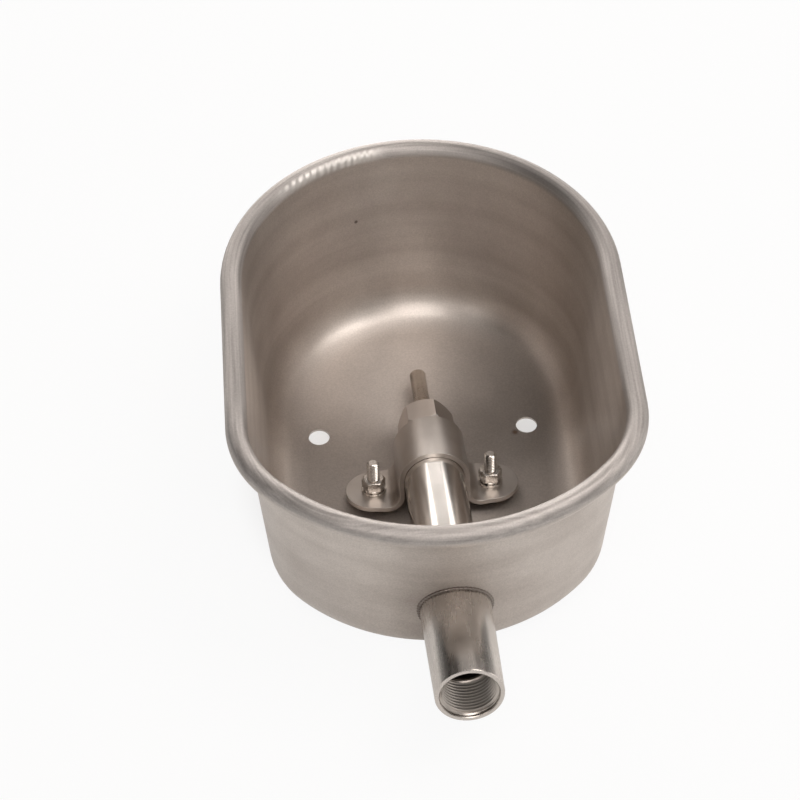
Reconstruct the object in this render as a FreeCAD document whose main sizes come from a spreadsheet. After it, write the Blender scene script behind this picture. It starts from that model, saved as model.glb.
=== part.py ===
import FreeCAD, Part
import math
import os
import Sketcher

# Oval stainless pig drinking bowl with a bite nipple on a clamped water pipe.
# Millimetres, +Z up. The origin is the middle of the two mounting holes, on the flat back face.
# +X is across the bowl. +Y is the way the nipple's pin points, away from the water inlet.

DIMENSIONS = (
    ("rim_half_width", 95.0),
    ("bowl_height", 105.0),
    ("straight_length", 90.7),
    ("far_centre_offset", 9.4),
    ("front_end_depth", 74.9),
    ("front_corner_radius", 60.0),
    ("sheet_thickness", 1.2),
    ("rim_bead_radius", 5.0),
    ("rim_curl_angle", 130.0),
    ("wall_draft", 5.0),
    ("floor_corner_radius", 20.0),
    ("mount_hole_spacing", 103.8),
    ("mount_hole_radius", 5.25),
    ("clamp_x", 1.2),
    ("clamp_y", -38.1),
    ("pipe_height", 20.6),
    ("pipe_tilt", 9.0),
    ("pipe_turn", 1.3),
    ("pipe_radius", 14.5),
    ("pipe_bore_radius", 11.5),
    ("pipe_inner_reach", 17.5),
    ("pipe_socket_overlap", 14.0),
    ("socket_start", 98.0),
    ("socket_reach", 160.0),
    ("socket_root_radius", 16.4),
    ("socket_mouth_radius", 15.4),
    ("socket_thread_radius", 12.06),
    ("socket_thread_length", 22.0),
    ("socket_chamfer", 0.6),
    ("thread_lead_in", 1.4),
    ("wall_hole_gap", 0.3),
    ("weld_leg", 1.4),
    ("slip_gap", 0.05),
    ("bush_length", 16.0),
    ("shank_radius", 9.25),
    ("thread_gap", 0.1),
    ("shank_length", 20.0),
    ("gasket_thickness", 1.5),
    ("gasket_radius", 12.6),
    ("hex_flats", 24.0),
    ("hex_length", 18.0),
    ("hex_turn", 11.0),
    ("hex_nose_depth", 5.0),
    ("hex_nose_radius", 9.0),
    ("hex_rear_bevel", 2.0),
    ("nose_bore_radius", 6.0),
    ("nose_bore_depth", 9.0),
    ("chamber_radius", 7.5),
    ("seal_thickness", 2.0),
    ("seal_inner_radius", 4.8),
    ("ball_radius", 6.0),
    ("ball_gap", 0.3),
    ("pin_radius", 4.0),
    ("pin_reach", 32.7),
    ("pin_tip_bevel", 0.8),
    ("cup_radius", 7.2),
    ("cup_rim_drop", 3.2),
    ("cup_base_drop", 9.2),
    ("cup_boss_radius", 4.0),
    ("cup_boss_length", 1.5),
    ("spring_length", 9.0),
    ("spring_radius", 5.4),
    ("spring_wire_radius", 0.4),
    ("spring_turns", 4.0),
    ("spring_seat_gap", 0.1),
    ("retainer_thickness", 2.0),
    ("retainer_hole_radius", 3.5),
    ("strainer_collar", 1.5),
    ("strainer_reach", 8.0),
    ("strainer_radius", 6.8),
    ("strainer_wall", 1.0),
    ("strainer_slot_width", 1.6),
    ("strainer_slot_count", 6),
    ("strap_thickness", 2.5),
    ("strap_gap", 0.1),
    ("strap_length", 28.6),
    ("ear_drop", 17.2),
    ("ear_radius", 13.6),
    ("ear_bend_radius", 5.5),
    ("stud_spacing", 57.0),
    ("stud_radius", 3.0),
    ("stud_hole_gap", 0.3),
    ("stud_reach", 9.8),
    ("stud_tip_bevel", 0.6),
    ("plain_washer_radius", 6.0),
    ("plain_washer_thickness", 1.2),
    ("lock_washer_radius", 5.2),
    ("lock_washer_thickness", 1.4),
    ("nut_flats", 10.0),
    ("nut_height", 5.0),
    ("nut_bevel", 0.6),
)

FULL_TURN = "360"
HALF_TURN = "180"
LEAST_CUT = 0.01

doc = FreeCAD.newDocument("drinking_bowl")
sheet = doc.addObject("Spreadsheet::Sheet", "Dims")
for row, (alias, size) in enumerate(DIMENSIONS, start=1):
    sheet.set("A%d" % row, alias.replace("_", " "))
    sheet.set("B%d" % row, str(size))
    sheet.setAlias("B%d" % row, alias)
doc.recompute()

sub_parts = []


def amount(text):
    """The number that an expression on the sheet stands for."""
    value = sheet.evalExpression(text)
    return float(getattr(value, "Value", value))


def bind(thing, path, text):
    """Sets a property from an expression and keeps the expression on it."""
    thing.setExpression(path, text)


def new_body(label):
    body = doc.addObject("PartDesign::Body", label)
    body.Label = label
    sub_parts.append(body)
    return body


def new_sketch(body, name, plane, offset=None, bound=()):
    """A sketch on one of the body's own origin planes, moved off it by an optional placement."""
    sketch = body.newObject("Sketcher::SketchObject", name)
    sketch.AttachmentSupport = [(origin_feature(body, plane), "")]
    sketch.MapMode = "FlatFace"
    if offset:
        sketch.AttachmentOffset = offset
    for path, text in bound:
        bind(sketch, "AttachmentOffset." + path, text)
    return sketch


def origin_feature(body, role):
    return [feature for feature in body.Origin.OriginFeatures if feature.Role == role][0]


def pin_point(sketch, tag, geometry, place, x_text, y_text):
    """Holds one end of a sketch element at a bound distance from the sketch's two axes."""
    for axis, kind, text in ((-2, "DistanceX", x_text), (-1, "DistanceY", y_text)):
        if text == "0":
            sketch.addConstraint(Sketcher.Constraint("PointOnObject", geometry, place, axis))
            continue
        rule = Sketcher.Constraint(kind, -1, 1, geometry, place, amount(text))
        index = sketch.addConstraint(rule)
        name = "%s_%s" % (tag, kind[-1].lower())
        sketch.renameConstraint(index, name)
        bind(sketch, "Constraints." + name, text)


def arc_between(start, end, radius, turn):
    """The short arc from start to end: turn is 1 anticlockwise and -1 clockwise."""
    middle = (start + end) / 2
    chord = end - start
    rise = math.sqrt(max(radius ** 2 - (chord.Length / 2) ** 2, 0.0))
    side = FreeCAD.Vector(-chord.y, chord.x, 0).normalize()
    centre = middle + side * rise * turn
    first, last = (start, end) if turn > 0 else (end, start)
    from_angle = math.atan2(first.y - centre.y, first.x - centre.x)
    to_angle = math.atan2(last.y - centre.y, last.x - centre.x)
    circle = Part.Circle(centre, FreeCAD.Vector(0, 0, 1), radius)
    return Part.ArcOfCircle(circle, from_angle, to_angle)


def outline(sketch, tag, corners, arcs=None):
    """A closed outline through bound corners. arcs maps a corner's number to (radius, turn) of the
    side that leaves it; every other side is straight."""
    arcs = arcs or {}
    points = [FreeCAD.Vector(amount(x), amount(y), 0) for x, y in corners]
    ends = []
    for number, start in enumerate(points):
        end = points[(number + 1) % len(points)]
        if number not in arcs:
            index = sketch.addGeometry(Part.LineSegment(start, end), False)
            ends.append((index, 1, 2))
            continue
        radius_text, turn = arcs[number]
        index = sketch.addGeometry(arc_between(start, end, amount(radius_text), turn), False)
        ends.append((index, 1, 2) if turn > 0 else (index, 2, 1))
    for number, (index, leaving, arriving) in enumerate(ends):
        following = ends[(number + 1) % len(ends)]
        rule = Sketcher.Constraint("Coincident", index, arriving, following[0], following[1])
        sketch.addConstraint(rule)
    for number, (x_text, y_text) in enumerate(corners):
        pin_point(sketch, "%s%d" % (tag, number), ends[number][0], ends[number][1], x_text, y_text)
    for number, (radius_text, turn) in arcs.items():
        rule = Sketcher.Constraint("Radius", ends[number][0], amount(radius_text))
        index = sketch.addConstraint(rule)
        name = "%s%d_radius" % (tag, number)
        sketch.renameConstraint(index, name)
        bind(sketch, "Constraints." + name, radius_text)


def round_hole(sketch, tag, x_text, y_text, radius_text):
    centre = FreeCAD.Vector(amount(x_text), amount(y_text), 0)
    circle = Part.Circle(centre, FreeCAD.Vector(0, 0, 1), amount(radius_text))
    index = sketch.addGeometry(circle, False)
    pin_point(sketch, tag, index, 3, x_text, y_text)
    rule = sketch.addConstraint(Sketcher.Constraint("Radius", index, amount(radius_text)))
    sketch.renameConstraint(rule, tag + "_radius")
    bind(sketch, "Constraints.%s_radius" % tag, radius_text)


def revolve(body, name, kind, sketch, angle_text=FULL_TURN, midplane=False, backwards=False):
    """A Revolution or Groove about the sketch's own vertical axis."""
    feature = body.newObject("PartDesign::" + kind, name)
    feature.Profile = sketch
    feature.ReferenceAxis = (sketch, ["V_Axis"])
    feature.Angle = amount(angle_text)
    bind(feature, "Angle", angle_text)
    feature.Midplane = midplane
    feature.Reversed = backwards
    sketch.Visibility = False
    return feature


def extrude(body, name, kind, sketch, length_text, midplane=False, backwards=False):
    """A Pad or Pocket with a bound length."""
    feature = body.newObject("PartDesign::" + kind, name)
    feature.Profile = sketch
    feature.Length = amount(length_text)
    bind(feature, "Length", length_text)
    feature.Midplane = midplane
    feature.Reversed = backwards
    sketch.Visibility = False
    return feature


def cut_for_sure(body, feature, before):
    """A cut that points away from the solid removes nothing and shows no error."""
    doc.recompute()
    if body.Shape.Volume > before - LEAST_CUT:
        raise RuntimeError(feature.Name + " cuts nothing")


def place_on_line(piece, across="0", along="0", up="0"):
    """Places a piece in the pipe's tilted and turned frame: across, along it to the pin, and up."""
    ahead = "((%s) * cos(Dims.pipe_tilt) + (%s) * sin(Dims.pipe_tilt))" % (along, up)
    x_text = "Dims.clamp_x + (%s) * cos(Dims.pipe_turn) - %s * sin(Dims.pipe_turn)" % (across, ahead)
    y_text = "Dims.clamp_y + (%s) * sin(Dims.pipe_turn) + %s * cos(Dims.pipe_turn)" % (across, ahead)
    z_text = "Dims.pipe_height - (%s) * sin(Dims.pipe_tilt) + (%s) * cos(Dims.pipe_tilt)" % (along, up)
    place = "vector(%s; %s; %s)" % (x_text, y_text, z_text)
    bind(piece, "Placement", "placement(%s; rotation(Dims.pipe_turn; 0; -Dims.pipe_tilt))" % place)


def turned(label, along, corners, arcs=None):
    """A piece turned about the pipe's axis. Corners are (radius, distance along the axis)."""
    body = new_body(label)
    sketch = new_sketch(body, label + "_section", "XY_Plane")
    outline(sketch, "p", corners, arcs)
    revolve(body, label + "_turned", "Revolution", sketch)
    place_on_line(body, along=along)
    return body


# Sheet section of the bowl, from its axis out to the rolled rim, in half-width coordinates.
CURL_INNER = "(Dims.rim_bead_radius - Dims.sheet_thickness)"
CURL_ACROSS = "(Dims.rim_half_width - Dims.rim_bead_radius)"
CURL_UP = "(Dims.bowl_height - Dims.rim_bead_radius)"
WALL_TOP_ACROSS = "(%s - %s * cos(Dims.wall_draft))" % (CURL_ACROSS, CURL_INNER)
WALL_TOP_UP = "(%s + %s * sin(Dims.wall_draft))" % (CURL_UP, CURL_INNER)
FLOOR_EDGE = "(%s - (%s - Dims.floor_corner_radius) * tan(Dims.wall_draft)" % (WALL_TOP_ACROSS, WALL_TOP_UP)
FLOOR_EDGE += " - Dims.floor_corner_radius / cos(Dims.wall_draft))"
INNER_CORNER = "(Dims.floor_corner_radius - Dims.sheet_thickness)"

# Front end of the oval: two corner arcs and a flatter arc between them, all tangent.
CORNER_ACROSS = "(Dims.rim_half_width - Dims.front_corner_radius)"
CORNER_DEPTH = "(Dims.front_end_depth - Dims.front_corner_radius)"
FRONT_CENTRE_BACK = "((%s ^ 2 - %s ^ 2) / (2 * %s))" % (CORNER_ACROSS, CORNER_DEPTH, CORNER_DEPTH)
FRONT_RADIUS = "(Dims.front_end_depth + %s)" % FRONT_CENTRE_BACK
FRONT_HALF_ANGLE = "(atan(%s / %s) / 1 deg)" % (CORNER_ACROSS, FRONT_CENTRE_BACK)
STRAIGHT_FRONT_Y = "(Dims.far_centre_offset - Dims.straight_length)"

# Places along the pipe's axis, from the middle of the clamp.
HEX_REAR = "(Dims.pipe_inner_reach + Dims.gasket_thickness)"
HEX_FRONT = "(%s + Dims.hex_length)" % HEX_REAR
SEAT = "(%s - Dims.nose_bore_depth)" % HEX_FRONT
SHANK_END = "(%s - Dims.shank_length)" % HEX_REAR
BALL_SEAT_RADIUS = "(Dims.ball_radius + Dims.ball_gap)"
BALL_BEHIND_SEAL = "sqrt(%s ^ 2 - Dims.seal_inner_radius ^ 2)" % BALL_SEAT_RADIUS
BALL = "(%s - Dims.seal_thickness - %s)" % (SEAT, BALL_BEHIND_SEAL)
SPRING_FRONT = "(%s - Dims.cup_base_drop)" % BALL
SPRING_BACK = "(%s - Dims.spring_length)" % SPRING_FRONT
EAR_TOP = "(Dims.strap_thickness - Dims.ear_drop)"
PIPE_REACH = "(Dims.socket_start + Dims.pipe_socket_overlap)"


def sheet_section(sketch, shift):
    """The sheet's section with its axis moved by shift from the middle of the bowl."""
    curl = "(%s + %s)" % (CURL_ACROSS, shift)
    floor_edge = "(%s + %s)" % (FLOOR_EDGE, shift)
    outer = "Dims.floor_corner_radius"
    corners = [
        ("0", "0"),
        (floor_edge, "0"),
        ("%s + %s * cos(Dims.wall_draft)" % (floor_edge, outer),
         "%s - %s * sin(Dims.wall_draft)" % (outer, outer)),
        ("%s + %s" % (WALL_TOP_ACROSS, shift), WALL_TOP_UP),
        (curl, "%s + %s" % (CURL_UP, CURL_INNER)),
        ("%s + %s" % (curl, CURL_INNER), CURL_UP),
        ("%s + %s * cos(Dims.rim_curl_angle)" % (curl, CURL_INNER),
         "%s - %s * sin(Dims.rim_curl_angle)" % (CURL_UP, CURL_INNER)),
        ("%s + Dims.rim_bead_radius * cos(Dims.rim_curl_angle)" % curl,
         "%s - Dims.rim_bead_radius * sin(Dims.rim_curl_angle)" % CURL_UP),
        ("%s + Dims.rim_bead_radius" % curl, CURL_UP),
        (curl, "Dims.bowl_height"),
        ("%s - Dims.rim_bead_radius * cos(Dims.wall_draft)" % curl,
         "%s + Dims.rim_bead_radius * sin(Dims.wall_draft)" % CURL_UP),
        ("%s + %s * cos(Dims.wall_draft)" % (floor_edge, INNER_CORNER),
         "%s - %s * sin(Dims.wall_draft)" % (outer, INNER_CORNER)),
        (floor_edge, "Dims.sheet_thickness"),
        ("0", "Dims.sheet_thickness"),
    ]
    arcs = {
        1: (outer, 1),
        3: (CURL_INNER, -1),
        4: (CURL_INNER, -1),
        5: (CURL_INNER, -1),
        7: ("Dims.rim_bead_radius", 1),
        8: ("Dims.rim_bead_radius", 1),
        9: ("Dims.rim_bead_radius", 1),
        11: (INNER_CORNER, -1),
    }
    outline(sketch, "p", corners, arcs)


def bowl_shell():
    body = new_body("bowl_shell")
    still = FreeCAD.Placement()
    at_far = [("Base.z", "-Dims.far_centre_offset")]
    side = new_sketch(body, "side_section", "XZ_Plane", still, at_far)
    sheet_section(side, "0")
    straight = extrude(body, "straight_sides", "Pad", side, "Dims.straight_length")
    at_corner = [("Base.x", CORNER_ACROSS), ("Base.z", "-%s" % STRAIGHT_FRONT_Y)]
    corner = new_sketch(body, "corner_section", "XZ_Plane", still, at_corner)
    sheet_section(corner, "-%s" % CORNER_ACROSS)
    bend = revolve(body, "front_corner", "Revolution", corner, "90 - %s" % FRONT_HALF_ANGLE, backwards=True)
    doc.recompute()
    other = body.newObject("PartDesign::Mirrored", "other_side")
    other.Originals = [straight, bend]
    other.MirrorPlane = (origin_feature(body, "YZ_Plane"), [""])
    body.Tip = other
    doc.recompute()
    far = new_sketch(body, "far_section", "XZ_Plane", still, at_far)
    sheet_section(far, "0")
    revolve(body, "far_end", "Revolution", far, HALF_TURN)
    doc.recompute()
    about = FreeCAD.Placement(FreeCAD.Vector(0, 0, 0), FreeCAD.Rotation(FreeCAD.Vector(0, 1, 0), 180))
    at_front = [("Base.x", "%s + %s" % (STRAIGHT_FRONT_Y, FRONT_CENTRE_BACK))]
    front = new_sketch(body, "front_section", "YZ_Plane", about, at_front)
    sheet_section(front, "(%s - Dims.rim_half_width)" % FRONT_RADIUS)
    revolve(body, "front_end", "Revolution", front, "2 * %s" % FRONT_HALF_ANGLE, midplane=True)
    doc.recompute()

    before = body.Shape.Volume
    holes = new_sketch(body, "mounting_holes", "XY_Plane")
    round_hole(holes, "left", "-Dims.mount_hole_spacing / 2", "0", "Dims.mount_hole_radius")
    round_hole(holes, "right", "Dims.mount_hole_spacing / 2", "0", "Dims.mount_hole_radius")
    drill = extrude(body, "drill_mounting_holes", "Pocket", holes, "2 * Dims.sheet_thickness", backwards=True)
    cut_for_sure(body, drill, before)

    before = body.Shape.Volume
    opening = new_sketch(body, "pipe_hole", "XZ_Plane")
    place = "vector(Dims.clamp_x; Dims.pipe_height; -Dims.clamp_y)"
    turn = "rotation(0; Dims.pipe_turn; -Dims.pipe_tilt)"
    bind(opening, "AttachmentOffset", "placement(%s; %s)" % (place, turn))
    round_hole(opening, "pipe", "0", "0", "Dims.socket_root_radius + Dims.wall_hole_gap")
    punch = extrude(body, "punch_pipe_hole", "Pocket", opening, "Dims.socket_reach", backwards=True)
    cut_for_sure(body, punch, before)
    return body


def inlet_pipe():
    """Stainless water tube from the nipple, under the clamp and out to the inlet socket."""
    turned("inlet_pipe", "0", [
        ("Dims.pipe_bore_radius", "-%s" % PIPE_REACH),
        ("Dims.pipe_radius", "-%s" % PIPE_REACH),
        ("Dims.pipe_radius", "Dims.pipe_inner_reach"),
        ("Dims.pipe_bore_radius", "Dims.pipe_inner_reach"),
    ])


def inlet_socket():
    """Slightly tapered socket with a plain bore at the size of its pipe thread."""
    seat = "(Dims.pipe_radius + Dims.slip_gap)"
    lip = "Dims.socket_chamfer"
    lead = "Dims.thread_lead_in"
    turned("inlet_socket", "0", [
        (seat, "-Dims.socket_start"),
        ("Dims.socket_root_radius", "-Dims.socket_start"),
        ("Dims.socket_mouth_radius", "-Dims.socket_reach + %s" % lip),
        ("Dims.socket_mouth_radius - %s" % lip, "-Dims.socket_reach"),
        ("Dims.socket_thread_radius + %s" % lead, "-Dims.socket_reach"),
        ("Dims.socket_thread_radius", "-Dims.socket_reach + %s" % lead),
        ("Dims.socket_thread_radius", "-Dims.socket_reach + Dims.socket_thread_length"),
        ("Dims.pipe_bore_radius", "-Dims.socket_reach + Dims.socket_thread_length"),
        ("Dims.pipe_bore_radius", "-%s - Dims.slip_gap" % PIPE_REACH),
        (seat, "-%s - Dims.slip_gap" % PIPE_REACH),
    ])


def socket_weld():
    """Fillet weld that closes the joint of pipe and socket inside the bowl."""
    turned("socket_weld", "-Dims.socket_start", [
        ("Dims.pipe_radius + Dims.slip_gap", "0"),
        ("Dims.pipe_radius + Dims.weld_leg", "0"),
        ("Dims.pipe_radius + Dims.slip_gap", "Dims.weld_leg"),
    ])


def pipe_end_bush():
    """Bush in the pipe's end with the bore that takes the nipple's shank."""
    turned("pipe_end_bush", "Dims.pipe_inner_reach", [
        ("Dims.shank_radius + Dims.thread_gap", "-Dims.bush_length"),
        ("Dims.pipe_bore_radius - Dims.slip_gap", "-Dims.bush_length"),
        ("Dims.pipe_bore_radius - Dims.slip_gap", "0"),
        ("Dims.shank_radius + Dims.thread_gap", "0"),
    ])


def body_gasket():
    turned("body_gasket", "Dims.pipe_inner_reach", [
        ("Dims.shank_radius + Dims.thread_gap", "0"),
        ("Dims.gasket_radius", "0"),
        ("Dims.gasket_radius", "Dims.gasket_thickness"),
        ("Dims.shank_radius + Dims.thread_gap", "Dims.gasket_thickness"),
    ])


def hexagon(sketch, flats, turn):
    corner = "%s / 2 / cos(30)" % flats
    corners = []
    for step in range(6):
        angle = "(%d + %s)" % (60 * step, turn)
        corners.append(("%s * cos%s" % (corner, angle), "%s * sin%s" % (corner, angle)))
    outline(sketch, "p", corners)


def valve_body():
    """Hexagonal nipple body with a bevelled nose, a threaded shank and a stepped bore."""
    body = new_body("valve_body")
    hexagon_sketch = new_sketch(body, "hexagon", "XZ_Plane")
    hexagon(hexagon_sketch, "Dims.hex_flats", "Dims.hex_turn")
    extrude(body, "hexagon_bar", "Pad", hexagon_sketch, "Dims.hex_length", backwards=True)
    shank = new_sketch(body, "shank_section", "XY_Plane")
    outline(shank, "p", [
        ("0", "-Dims.shank_length"),
        ("Dims.shank_radius", "-Dims.shank_length"),
        ("Dims.shank_radius", "Dims.gasket_thickness"),
        ("0", "Dims.gasket_thickness"),
    ])
    revolve(body, "shank", "Revolution", shank)
    doc.recompute()
    before = body.Shape.Volume
    corner = "Dims.hex_flats / 2 / cos(30)"
    outside = "Dims.hex_flats"
    nose = new_sketch(body, "nose_bevel", "XY_Plane")
    outline(nose, "p", [
        ("Dims.hex_nose_radius", "Dims.hex_length"),
        (corner, "Dims.hex_length - Dims.hex_nose_depth"),
        (outside, "Dims.hex_length - Dims.hex_nose_depth"),
        (outside, "Dims.hex_length"),
    ])
    cut = revolve(body, "bevel_nose", "Groove", nose)
    cut_for_sure(body, cut, before)
    before = body.Shape.Volume
    rear = new_sketch(body, "rear_bevel", "XY_Plane")
    outline(rear, "p", [
        (corner + " - Dims.hex_rear_bevel", "0"),
        (outside, "0"),
        (outside, "Dims.hex_rear_bevel"),
        (corner, "Dims.hex_rear_bevel"),
    ])
    cut = revolve(body, "bevel_rear", "Groove", rear)
    cut_for_sure(body, cut, before)
    before = body.Shape.Volume
    bore = new_sketch(body, "bore_section", "XY_Plane")
    seat = "Dims.hex_length - Dims.nose_bore_depth"
    outline(bore, "p", [
        ("0", "-Dims.shank_length"),
        ("Dims.chamber_radius", "-Dims.shank_length"),
        ("Dims.chamber_radius", seat),
        ("Dims.nose_bore_radius", seat),
        ("Dims.nose_bore_radius", "Dims.hex_length"),
        ("0", "Dims.hex_length"),
    ])
    cut = revolve(body, "bore", "Groove", bore)
    cut_for_sure(body, cut, before)
    place_on_line(body, along=HEX_REAR)


def seat_seal():
    turned("seat_seal", SEAT, [
        ("Dims.seal_inner_radius", "-Dims.seal_thickness"),
        ("Dims.chamber_radius - Dims.slip_gap", "-Dims.seal_thickness"),
        ("Dims.chamber_radius - Dims.slip_gap", "0"),
        ("Dims.seal_inner_radius", "0"),
    ])


def valve_pin():
    """Bite pin with a ball head: the ball closes on the seal and is the pin's pivot."""
    neck = "sqrt(Dims.ball_radius ^ 2 - Dims.pin_radius ^ 2)"
    tip = "(%s - %s + Dims.pin_reach)" % (HEX_FRONT, BALL)
    turned("valve_pin", BALL, [
        ("0", "-Dims.ball_radius"),
        ("Dims.ball_radius", "0"),
        ("Dims.pin_radius", neck),
        ("Dims.pin_radius", "%s - Dims.pin_tip_bevel" % tip),
        ("Dims.pin_radius - Dims.pin_tip_bevel", tip),
        ("0", tip),
    ], {0: ("Dims.ball_radius", 1), 1: ("Dims.ball_radius", 1)})


def spring_cup():
    """Plunger that the spring presses against the ball, with a hollow that lets the ball turn."""
    rim = "sqrt(%s ^ 2 - Dims.cup_rim_drop ^ 2)" % BALL_SEAT_RADIUS
    turned("spring_cup", BALL, [
        ("0", "-Dims.cup_base_drop - Dims.cup_boss_length"),
        ("Dims.cup_boss_radius", "-Dims.cup_base_drop - Dims.cup_boss_length"),
        ("Dims.cup_boss_radius", "-Dims.cup_base_drop"),
        ("Dims.cup_radius", "-Dims.cup_base_drop"),
        ("Dims.cup_radius", "-Dims.cup_rim_drop"),
        (rim, "-Dims.cup_rim_drop"),
        ("0", "-%s" % BALL_SEAT_RADIUS),
    ], {5: (BALL_SEAT_RADIUS, -1)})


def valve_spring():
    """Closing spring between the cup and its retainer."""
    body = new_body("valve_spring")
    end_gap = "(Dims.spring_seat_gap + Dims.spring_wire_radius)"
    height = "(Dims.spring_length - 2 * %s)" % end_gap
    wire = new_sketch(body, "wire_section", "XY_Plane")
    round_hole(wire, "wire", "Dims.spring_radius", end_gap, "Dims.spring_wire_radius")
    coil = body.newObject("PartDesign::AdditiveHelix", "coil")
    coil.Profile = wire
    coil.ReferenceAxis = (wire, ["V_Axis"])
    coil.Mode = "height-turns-angle"
    coil.Height = amount(height)
    coil.Turns = amount("Dims.spring_turns")
    bind(coil, "Height", height)
    bind(coil, "Turns", "Dims.spring_turns")
    wire.Visibility = False
    place_on_line(body, along=SPRING_BACK)


def spring_retainer():
    turned("spring_retainer", SPRING_BACK, [
        ("Dims.retainer_hole_radius", "-Dims.retainer_thickness"),
        ("Dims.chamber_radius - Dims.slip_gap", "-Dims.retainer_thickness"),
        ("Dims.chamber_radius - Dims.slip_gap", "0"),
        ("Dims.retainer_hole_radius", "0"),
    ])


def strainer():
    """Slotted plastic strainer plugged into the end of the shank."""
    body = turned("strainer", SHANK_END, [
        ("0", "-Dims.strainer_reach"),
        ("Dims.strainer_radius", "-Dims.strainer_reach"),
        ("Dims.strainer_radius", "-Dims.strainer_collar"),
        ("Dims.shank_radius - Dims.slip_gap", "-Dims.strainer_collar"),
        ("Dims.shank_radius - Dims.slip_gap", "0"),
        ("Dims.chamber_radius - Dims.slip_gap", "0"),
        ("Dims.chamber_radius - Dims.slip_gap", "Dims.strainer_collar"),
        ("Dims.strainer_radius - Dims.strainer_wall", "Dims.strainer_collar"),
        ("Dims.strainer_radius - Dims.strainer_wall", "Dims.strainer_wall - Dims.strainer_reach"),
        ("0", "Dims.strainer_wall - Dims.strainer_reach"),
    ])
    doc.recompute()
    before = body.Shape.Volume
    slot = new_sketch(body, "slot", "YZ_Plane")
    back = "Dims.strainer_wall - Dims.strainer_reach"
    front = "-Dims.strainer_collar - Dims.strainer_wall"
    outline(slot, "p", [
        (back, "-Dims.strainer_slot_width / 2"),
        (front, "-Dims.strainer_slot_width / 2"),
        (front, "Dims.strainer_slot_width / 2"),
        (back, "Dims.strainer_slot_width / 2"),
    ])
    cut = extrude(body, "cut_slot", "Pocket", slot, "Dims.strainer_radius")
    cut_for_sure(body, cut, before)
    ring = body.newObject("PartDesign::PolarPattern", "slot_ring")
    ring.Originals = [cut]
    ring.Axis = (origin_feature(body, "Y_Axis"), [""])
    ring.Angle = amount(FULL_TURN)
    bind(ring, "Occurrences", "Dims.strainer_slot_count")
    body.Tip = ring


def saddle_clamp():
    """Strap bent over the pipe with two rounded ears for the studs."""
    body = new_body("saddle_clamp")
    inner = "(Dims.pipe_radius + Dims.strap_gap)"
    outer = "(%s + Dims.strap_thickness)" % inner
    bend = "(%s + Dims.ear_bend_radius)" % outer
    bend_up = "(%s + Dims.ear_bend_radius)" % EAR_TOP
    tip = "(Dims.stud_spacing / 2 + Dims.ear_radius)"
    low = "-Dims.ear_drop"
    tight = "Dims.ear_bend_radius"
    wide = "(Dims.ear_bend_radius + Dims.strap_thickness)"
    section = new_sketch(body, "strap_section", "XZ_Plane")
    outline(section, "p", [
        (tip, low),
        (tip, EAR_TOP),
        (bend, EAR_TOP),
        (outer, bend_up),
        (outer, "0"),
        ("0", outer),
        ("-%s" % outer, "0"),
        ("-%s" % outer, bend_up),
        ("-%s" % bend, EAR_TOP),
        ("-%s" % tip, EAR_TOP),
        ("-%s" % tip, low),
        ("-%s" % bend, low),
        ("-%s" % inner, bend_up),
        ("-%s" % inner, "0"),
        ("0", inner),
        (inner, "0"),
        (inner, bend_up),
        (bend, low),
    ], {
        2: (tight, -1),
        4: (outer, 1),
        5: (outer, 1),
        7: (tight, -1),
        11: (wide, 1),
        13: (inner, -1),
        14: (inner, -1),
        16: (wide, 1),
    })
    extrude(body, "strap", "Pad", section, "Dims.strap_length", midplane=True)
    doc.recompute()
    before = body.Shape.Volume
    middle = "Dims.stud_spacing / 2"
    half = "Dims.strap_length / 2"
    margin = "(2 * Dims.strap_length)"
    plan = new_sketch(body, "ear_plan", "XY_Plane")
    outline(plan, "f", [
        (margin, "-%s" % margin),
        (margin, margin),
        ("-%s" % margin, margin),
        ("-%s" % margin, "-%s" % margin),
    ])
    outline(plan, "e", [
        (bend, half),
        ("-%s" % bend, half),
        ("-%s" % middle, "Dims.ear_radius"),
        ("-%s" % tip, "0"),
        ("-%s" % middle, "-Dims.ear_radius"),
        ("-%s" % bend, "-%s" % half),
        (bend, "-%s" % half),
        (middle, "-Dims.ear_radius"),
        (tip, "0"),
        (middle, "Dims.ear_radius"),
    ], {
        2: ("Dims.ear_radius", 1),
        3: ("Dims.ear_radius", 1),
        7: ("Dims.ear_radius", 1),
        8: ("Dims.ear_radius", 1),
    })
    trim = extrude(body, "round_the_ears", "Pocket", plan, "4 * Dims.ear_drop", midplane=True)
    cut_for_sure(body, trim, before)
    before = body.Shape.Volume
    holes = new_sketch(body, "stud_holes", "XY_Plane")
    hole = "Dims.stud_radius + Dims.stud_hole_gap"
    round_hole(holes, "left", "-%s" % middle, "0", hole)
    round_hole(holes, "right", middle, "0", hole)
    drill = extrude(body, "drill_stud_holes", "Pocket", holes, "4 * Dims.ear_drop", midplane=True)
    cut_for_sure(body, drill, before)
    place_on_line(body)


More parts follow.
